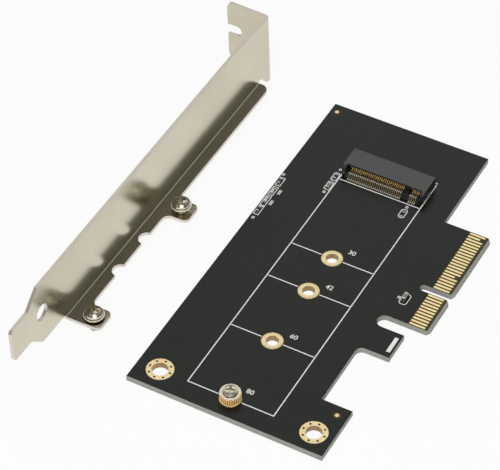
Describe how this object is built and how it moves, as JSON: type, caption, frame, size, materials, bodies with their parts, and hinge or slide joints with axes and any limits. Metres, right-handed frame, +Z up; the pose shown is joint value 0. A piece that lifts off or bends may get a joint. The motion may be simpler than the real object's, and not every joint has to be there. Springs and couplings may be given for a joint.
{
  "type": "nvme adapter card",
  "caption": "Board that carries an M.2 drive in a PCI Express slot, lying flat, with its slot bracket and screws standing beside it.",
  "frame": {"origin": "on the surface they stand on, under the middle of the box round card and bracket", "axes": "+X along the card from its bracket end to its far end, +Y from the gold fingers to the opposite long edge and the bracket, +Z up"},
  "size_m": [0.1202, 0.0868, 0.0209],
  "materials": {
    "solder_mask": "satin black solder mask on glass laminate",
    "finger_gold": "hard gold plating",
    "ring_plating": "gold-washed copper",
    "socket_plastic": "moulded black nylon",
    "contact_gold": "gold flash on copper alloy",
    "tin": "tin plating",
    "solder": "bright solder",
    "standoff_brass": "knurled brass",
    "screw_nickel": "nickel plating",
    "bracket_nickel": "warm grey nickel plating on steel sheet",
    "resistor_black": "black glaze",
    "capacitor_tan": "fired ceramic",
    "lamp_white": "white laminate",
    "lamp_lens": "clear moulded epoxy"
  },
  "bodies": {
    "root": {"pcb": "solder_mask", "edge_contacts_front": "finger_gold", "edge_contacts_back": "finger_gold", "plated_hole_80": "ring_plating", "plated_hole_60": "ring_plating", "plated_hole_42": "ring_plating", "plated_hole_30": "ring_plating", "mounting_ring_left": "ring_plating", "mounting_ring_right": "ring_plating", "fiducials": "ring_plating", "m2_socket_housing": "socket_plastic", "m2_lower_contacts": "contact_gold", "m2_upper_contacts": "contact_gold", "m2_hold_down_left": "tin", "m2_hold_down_right": "tin", "standoff": "standoff_brass", "standoff_screw": "screw_nickel", "resistor_1": "resistor_black", "resistor_1_caps": "tin", "resistor_2": "resistor_black", "resistor_2_caps": "tin", "resistor_3": "resistor_black", "resistor_3_caps": "tin", "capacitor_1": "capacitor_tan", "capacitor_1_caps": "tin", "capacitor_2": "capacitor_tan", "capacitor_2_caps": "tin", "lamp_1": "lamp_white", "lamp_1_lens": "lamp_lens", "lamp_2": "lamp_white", "lamp_2_lens": "lamp_lens", "solder_lands": "solder", "bracket": "bracket_nickel", "bracket_screw_near": "screw_nickel", "bracket_screw_far": "screw_nickel"}
  },
  "joints": []
}
